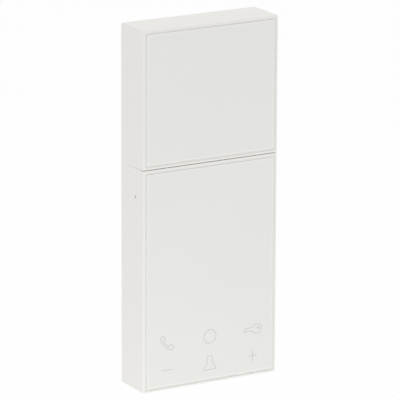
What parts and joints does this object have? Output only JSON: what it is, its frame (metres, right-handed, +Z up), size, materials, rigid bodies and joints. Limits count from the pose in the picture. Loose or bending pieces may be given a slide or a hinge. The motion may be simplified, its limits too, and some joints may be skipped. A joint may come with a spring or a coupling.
{
  "type": "audio intercom handset",
  "caption": "Hands-free wall intercom station: flat white box with two panels set in its front, a sound slit between them, touch symbols below, and a hook-on wall plate.",
  "frame": {"origin": "on the wall, at the centre of the two wall box screw slots of the wall plate", "axes": "+X to the right as seen from the room, +Y into the wall, +Z up"},
  "size_m": [0.083, 0.0242, 0.2],
  "materials": {
    "housing_white": "fine moulded texture, off-white",
    "panel_white": "smooth satin gloss, off-white",
    "symbol_grey": "smooth, flush with the panel",
    "cover_white": "plain moulded",
    "plate_white": "plain moulded",
    "film_clear": "milky film",
    "tape_white": "adhesive foam",
    "circuit_board": "solder resist",
    "chip_black": "moulded epoxy",
    "connector_black": "moulded",
    "lamp": "clear resin over phosphor",
    "tinned": "tinned",
    "gilt": "gold flashed",
    "screw_steel": "zinc plated",
    "terminal_green": "moulded",
    "clamp_steel": "nickel plated",
    "can_aluminium": "drawn",
    "ferrite": "sintered",
    "copper_wire": "enamelled copper",
    "foam_black": "closed cell foam",
    "rubber_black": "soft moulded",
    "basket_steel": "black stoved",
    "yoke_steel": "zinc plated",
    "magnet_plated": "nickel plated",
    "cone_paper": "pressed paper",
    "former_film": "heat resistant film",
    "strip_brown": "laminated paper",
    "button_dark": "moulded"
  },
  "bodies": {
    "wall_bracket": {"wall_plate": "plate_white"},
    "station": {"front_housing": "housing_white", "upper_panel": "panel_white", "upper_panel_tape": "tape_white", "lower_panel": "panel_white", "lower_panel_tape": "tape_white", "key_symbols": "symbol_grey", "key_diffuser_film": "film_clear", "rear_cover": "cover_white", "rear_cover_screws": "screw_steel", "touch_board": "circuit_board", "key_lights": "lamp", "touch_controller": "chip_black", "service_switch_body": "connector_black", "board_header": "connector_black", "header_pins": "gilt", "board_socket": "connector_black", "main_board": "circuit_board", "board_screws": "screw_steel", "microcontroller": "chip_black", "audio_amplifier": "chip_black", "bridge_rectifier": "chip_black", "chip_leads": "tinned", "electrolytic_capacitors": "can_aluminium", "capacitor_bases": "connector_black", "choke_core": "ferrite", "choke_winding": "copper_wire", "terminal_block": "terminal_green", "terminal_contacts": "tinned", "speaker_gasket": "foam_black", "speaker_basket": "basket_steel", "speaker_surround": "rubber_black", "speaker_yoke": "yoke_steel", "speaker_magnet": "magnet_plated", "speaker_pole_plate": "yoke_steel", "speaker_terminal_strip": "strip_brown", "speaker_screws": "screw_steel", "contact_barrels": "gilt", "contact_tips": "gilt", "microphone_capsule": "can_aluminium", "microphone_boot": "rubber_black", "microphone_leads": "tinned"},
    "diaphragm": {"speaker_cone": "cone_paper", "speaker_dust_cap": "cone_paper", "voice_coil_former": "former_film", "voice_coil_winding": "copper_wire"},
    "button": {"service_button": "button_dark"},
    "clamp_screw_1": {"terminal_screw_1": "screw_steel"},
    "clamp_cage_1": {"terminal_cage_1": "clamp_steel"},
    "clamp_screw_2": {"terminal_screw_2": "screw_steel"},
    "clamp_cage_2": {"terminal_cage_2": "clamp_steel"},
    "clamp_screw_3": {"terminal_screw_3": "screw_steel"},
    "clamp_cage_3": {"terminal_cage_3": "clamp_steel"},
    "clamp_screw_4": {"terminal_screw_4": "screw_steel"},
    "clamp_cage_4": {"terminal_cage_4": "clamp_steel"}
  },
  "joints": [
    {"name": "station_lift", "type": "slide", "parent": "wall_bracket", "child": "station", "axis": [0, 0, 1], "range_m": [0, 0.0055]},
    {"name": "diaphragm_stroke", "type": "slide", "parent": "station", "child": "diaphragm", "axis": [0, -1, 0], "range_m": [-0.0005, 0.0005], "stiffness_N_per_m": 1300, "deforming": ["speaker_surround"]},
    {"name": "service_press", "type": "slide", "parent": "station", "child": "button", "axis": [1, 0, 0], "range_m": [0, 0.0003], "stiffness_N_per_m": 5000},
    {"name": "clamp_turn_1", "type": "hinge", "parent": "station", "child": "clamp_screw_1", "pos_m": [-0.00762, -0.004, 0.009], "axis": [0, -1, 0], "range_deg": [0, 1440]},
    {"name": "clamp_rise_1", "type": "slide", "parent": "station", "child": "clamp_cage_1", "axis": [0, 1, 0], "range_m": [0, 0.002]},
    {"name": "clamp_turn_2", "type": "hinge", "parent": "station", "child": "clamp_screw_2", "pos_m": [-0.00254, -0.004, 0.009], "axis": [0, -1, 0], "range_deg": [0, 1440]},
    {"name": "clamp_rise_2", "type": "slide", "parent": "station", "child": "clamp_cage_2", "axis": [0, 1, 0], "range_m": [0, 0.002]},
    {"name": "clamp_turn_3", "type": "hinge", "parent": "station", "child": "clamp_screw_3", "pos_m": [0.00254, -0.004, 0.009], "axis": [0, -1, 0], "range_deg": [0, 1440]},
    {"name": "clamp_rise_3", "type": "slide", "parent": "station", "child": "clamp_cage_3", "axis": [0, 1, 0], "range_m": [0, 0.002]},
    {"name": "clamp_turn_4", "type": "hinge", "parent": "station", "child": "clamp_screw_4", "pos_m": [0.00762, -0.004, 0.009], "axis": [0, -1, 0], "range_deg": [0, 1440]},
    {"name": "clamp_rise_4", "type": "slide", "parent": "station", "child": "clamp_cage_4", "axis": [0, 1, 0], "range_m": [0, 0.002]}
  ],
  "couplings": [
    {"joint": "clamp_turn_1", "follows": "clamp_rise_1", "rad_per_m": 12566},
    {"joint": "clamp_turn_2", "follows": "clamp_rise_2", "rad_per_m": 12566},
    {"joint": "clamp_turn_3", "follows": "clamp_rise_3", "rad_per_m": 12566},
    {"joint": "clamp_turn_4", "follows": "clamp_rise_4", "rad_per_m": 12566}
  ]
}
